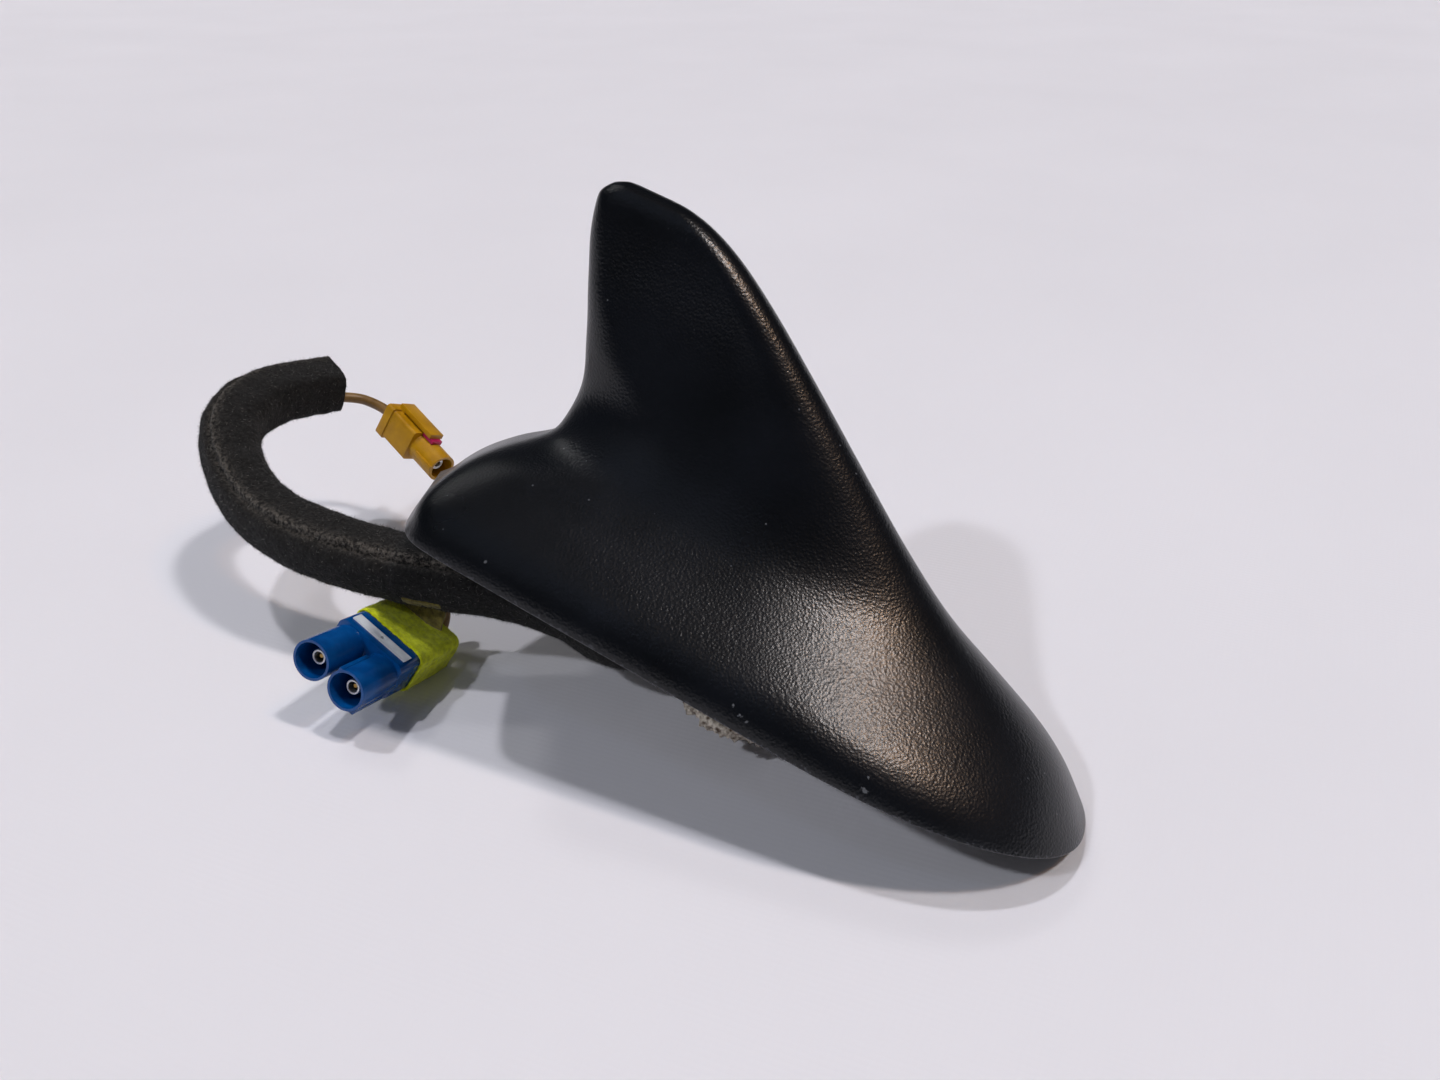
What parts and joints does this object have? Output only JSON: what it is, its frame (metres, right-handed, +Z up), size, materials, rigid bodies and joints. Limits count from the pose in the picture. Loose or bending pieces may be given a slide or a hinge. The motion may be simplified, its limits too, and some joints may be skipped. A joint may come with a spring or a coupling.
{
  "type": "shark fin roof aerial",
  "caption": "Black moulded shark fin roof aerial with a foam-sleeved lead, a blue twin plug in green tape and a yellow coaxial jack.",
  "frame": {"origin": "on the axis of the roof fixing, in the plane of the roof skin that the rim gasket rests on", "axes": "+Z up out of the roof, +X towards the nose, +Y to the left side of the fin"},
  "size_m": [0.2319, 0.0881, 0.1232],
  "materials": {
    "grained_plastic": "satin, moulded pebble grain",
    "seal_rubber": "matt",
    "cast_alloy": "as cast",
    "brass": "bright",
    "plated_steel": "zinc plated",
    "board_laminate": "solder mask",
    "patch_ceramic": "fired",
    "tin_can": "tinned",
    "chip_resin": "matt",
    "foam": "open cell foam",
    "lead_jacket": "satin",
    "yellow_plastic": "satin",
    "magenta_plastic": "satin",
    "blue_plastic": "gloss",
    "white_plastic": "satin",
    "green_tape": "felted",
    "brown_tape": "felted"
  },
  "bodies": {
    "root": {"fin_cover": "grained_plastic", "rim_gasket": "seal_rubber", "base_plate": "cast_alloy", "thread_insert": "brass", "hole_collar": "seal_rubber", "cover_screws": "plated_steel", "main_board": "board_laminate", "board_screws": "plated_steel", "position_patch": "patch_ceramic", "radio_patch": "patch_ceramic", "feed_pins": "brass", "shield_can": "tin_can", "filter_chips": "chip_resin", "phone_blade": "board_laminate", "blade_holder": "chip_resin", "lead_outlet": "seal_rubber", "board_leads": "lead_jacket", "foam_sleeve": "foam", "tail_lead": "lead_jacket", "jack_housing": "yellow_plastic", "jack_lock": "magenta_plastic", "jack_contact": "plated_steel", "plug_housing": "blue_plastic", "plug_lock": "white_plastic", "plug_contacts": "plated_steel", "plug_pins": "brass", "plug_leads": "lead_jacket", "tape_wrap": "green_tape", "tie_tape": "brown_tape"}
  },
  "joints": []
}
